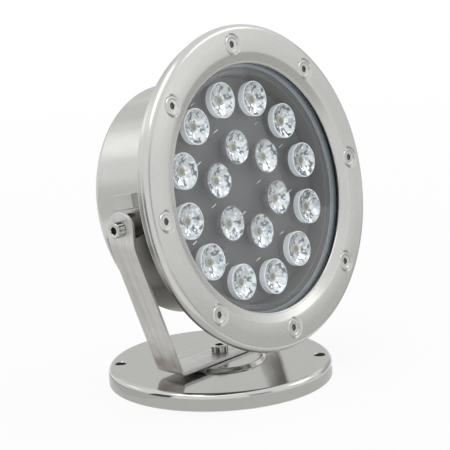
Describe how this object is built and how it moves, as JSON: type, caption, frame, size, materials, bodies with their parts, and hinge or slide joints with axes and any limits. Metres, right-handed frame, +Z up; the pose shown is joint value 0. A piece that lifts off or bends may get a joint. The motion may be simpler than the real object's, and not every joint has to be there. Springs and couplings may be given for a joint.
{
  "type": "underwater pond light",
  "caption": "Round stainless underwater LED pond light that tilts in a U-shaped bracket, which swivels on a round base.",
  "frame": {"origin": "centre of the round base's underside, on the surface that the light stands on", "axes": "+Z up along the swivel axis, -Y the way the lamp faces at rest, X along the tilt pivot"},
  "size_m": [0.18, 0.128, 0.2018],
  "materials": {
    "polished_steel": "polished stainless steel",
    "satin_steel": "satin brushed stainless steel",
    "fastener_steel": "bright turned stainless steel",
    "window_glass": "clear toughened glass",
    "clear_acrylic": "clear moulded acrylic",
    "black_rubber": "matt black rubber",
    "grey_silicone": "pale blue-grey silicone",
    "board_coating": "matt grey solder mask on an aluminium core",
    "green_laminate": "green solder mask on glass laminate",
    "copper_winding": "enamelled copper wire",
    "capacitor_sleeve": "dark blue shrink sleeve on an aluminium can",
    "dark_plastic": "dark moulded plastic",
    "red_insulation": "red wire insulation",
    "black_insulation": "black wire insulation"
  },
  "bodies": {
    "base": {"base_plate": "polished_steel", "swivel_bolt": "fastener_steel", "swivel_washer": "fastener_steel", "swivel_nut": "fastener_steel"},
    "bracket": {"bracket": "satin_steel"},
    "head": {"drum": "satin_steel", "flange": "satin_steel", "bezel": "polished_steel", "glass": "window_glass", "front_gasket": "black_rubber", "rear_gasket": "grey_silicone", "bezel_screw_1": "fastener_steel", "bezel_screw_2": "fastener_steel", "bezel_screw_3": "fastener_steel", "bezel_screw_4": "fastener_steel", "bezel_screw_5": "fastener_steel", "bezel_screw_6": "fastener_steel", "bezel_screw_7": "fastener_steel", "bezel_screw_8": "fastener_steel", "led_board": "board_coating", "outer_lens_1": "clear_acrylic", "outer_lens_2": "clear_acrylic", "outer_lens_3": "clear_acrylic", "outer_lens_4": "clear_acrylic", "outer_lens_5": "clear_acrylic", "outer_lens_6": "clear_acrylic", "outer_lens_7": "clear_acrylic", "outer_lens_8": "clear_acrylic", "outer_lens_9": "clear_acrylic", "outer_lens_10": "clear_acrylic", "outer_lens_11": "clear_acrylic", "outer_lens_12": "clear_acrylic", "inner_lens_1": "clear_acrylic", "inner_lens_2": "clear_acrylic", "inner_lens_3": "clear_acrylic", "inner_lens_4": "clear_acrylic", "inner_lens_5": "clear_acrylic", "inner_lens_6": "clear_acrylic", "board_post_1": "fastener_steel", "board_screw_1": "fastener_steel", "board_post_2": "fastener_steel", "board_screw_2": "fastener_steel", "board_post_3": "fastener_steel", "board_screw_3": "fastener_steel", "driver_board": "green_laminate", "driver_inductor": "copper_winding", "driver_capacitor": "capacitor_sleeve", "terminal_block": "dark_plastic", "lead_positive": "red_insulation", "lead_negative": "black_insulation", "gland_washer": "black_rubber", "gland_body": "fastener_steel", "gland_nut": "fastener_steel", "gland_insert": "black_rubber", "gland_locknut": "fastener_steel", "pivot_washer_left": "fastener_steel", "pivot_screw_left": "fastener_steel", "pivot_washer_right": "fastener_steel", "pivot_screw_right": "fastener_steel"}
  },
  "joints": [
    {"name": "bracket_swivel", "type": "hinge", "parent": "base", "child": "bracket", "pos_m": [0, 0, 0.0119], "axis": [0, 0, 1], "continuous": true},
    {"name": "head_tilt", "type": "hinge", "parent": "bracket", "child": "head", "pos_m": [0, 0, 0.1016], "axis": [-1, 0, 0], "range_deg": [-19, 79]}
  ]
}
